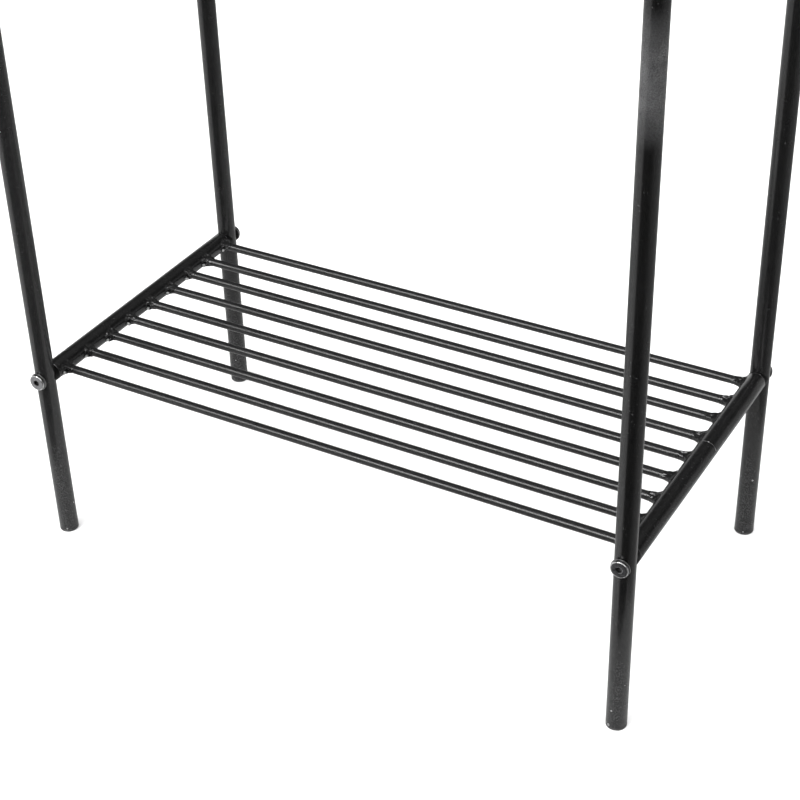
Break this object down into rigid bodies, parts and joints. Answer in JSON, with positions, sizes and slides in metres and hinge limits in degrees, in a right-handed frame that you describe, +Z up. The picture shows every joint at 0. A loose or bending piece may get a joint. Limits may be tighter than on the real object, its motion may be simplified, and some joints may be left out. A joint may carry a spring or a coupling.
{
  "type": "garment rail",
  "caption": "Tall black steel garment rail: two tubular side frames joined by a hanging rail at the top and a low shelf of welded round rods.",
  "frame": {"origin": "on the floor, at the centre of the footprint of the four foot caps", "axes": "+X along the hanging rail to the right, +Y to the back, +Z up"},
  "size_m": [0.6378, 0.3428, 1.55],
  "materials": {
    "black_powder_coat": "fine-grained satin black powder coat",
    "black_plastic": "moulded matt black plastic",
    "plated_steel": "bright nickel-plated steel",
    "insert_steel": "turned steel, yellow passivated"
  },
  "bodies": {
    "root": {"foot_cap_back_left": "black_plastic", "foot_cap_back_right": "black_plastic", "foot_cap_front_left": "black_plastic", "foot_cap_front_right": "black_plastic", "hanging_rail": "black_powder_coat", "leg_back_left": "black_powder_coat", "leg_back_right": "black_powder_coat", "leg_front_left": "black_powder_coat", "leg_front_right": "black_powder_coat", "rail_bolt_left": "plated_steel", "rail_bolt_right": "plated_steel", "rail_insert_left": "insert_steel", "rail_insert_right": "insert_steel", "rail_plug_left": "black_plastic", "rail_plug_right": "black_plastic", "rail_washer_left": "plated_steel", "rail_washer_right": "plated_steel", "shelf_bolt_back_left": "plated_steel", "shelf_bolt_back_right": "plated_steel", "shelf_bolt_front_left": "plated_steel", "shelf_bolt_front_right": "plated_steel", "shelf_end_tube_left": "black_powder_coat", "shelf_end_tube_right": "black_powder_coat", "shelf_insert_back_left": "insert_steel", "shelf_insert_back_right": "insert_steel", "shelf_insert_front_left": "insert_steel", "shelf_insert_front_right": "insert_steel", "shelf_plug_back_left": "black_plastic", "shelf_plug_back_right": "black_plastic", "shelf_plug_front_left": "black_plastic", "shelf_plug_front_right": "black_plastic", "shelf_rod_1": "black_powder_coat", "shelf_rod_2": "black_powder_coat", "shelf_rod_3": "black_powder_coat", "shelf_rod_4": "black_powder_coat", "shelf_rod_5": "black_powder_coat", "shelf_rod_6": "black_powder_coat", "shelf_rod_7": "black_powder_coat", "shelf_rod_8": "black_powder_coat", "shelf_rod_9": "black_powder_coat", "shelf_washer_back_left": "plated_steel", "shelf_washer_back_right": "plated_steel", "shelf_washer_front_left": "plated_steel", "shelf_washer_front_right": "plated_steel", "side_brace_left": "black_powder_coat", "side_brace_right": "black_powder_coat", "top_bar_left": "black_powder_coat", "top_bar_right": "black_powder_coat", "top_cap_back_left": "black_plastic", "top_cap_back_right": "black_plastic", "top_cap_front_left": "black_plastic", "top_cap_front_right": "black_plastic"}
  },
  "joints": []
}
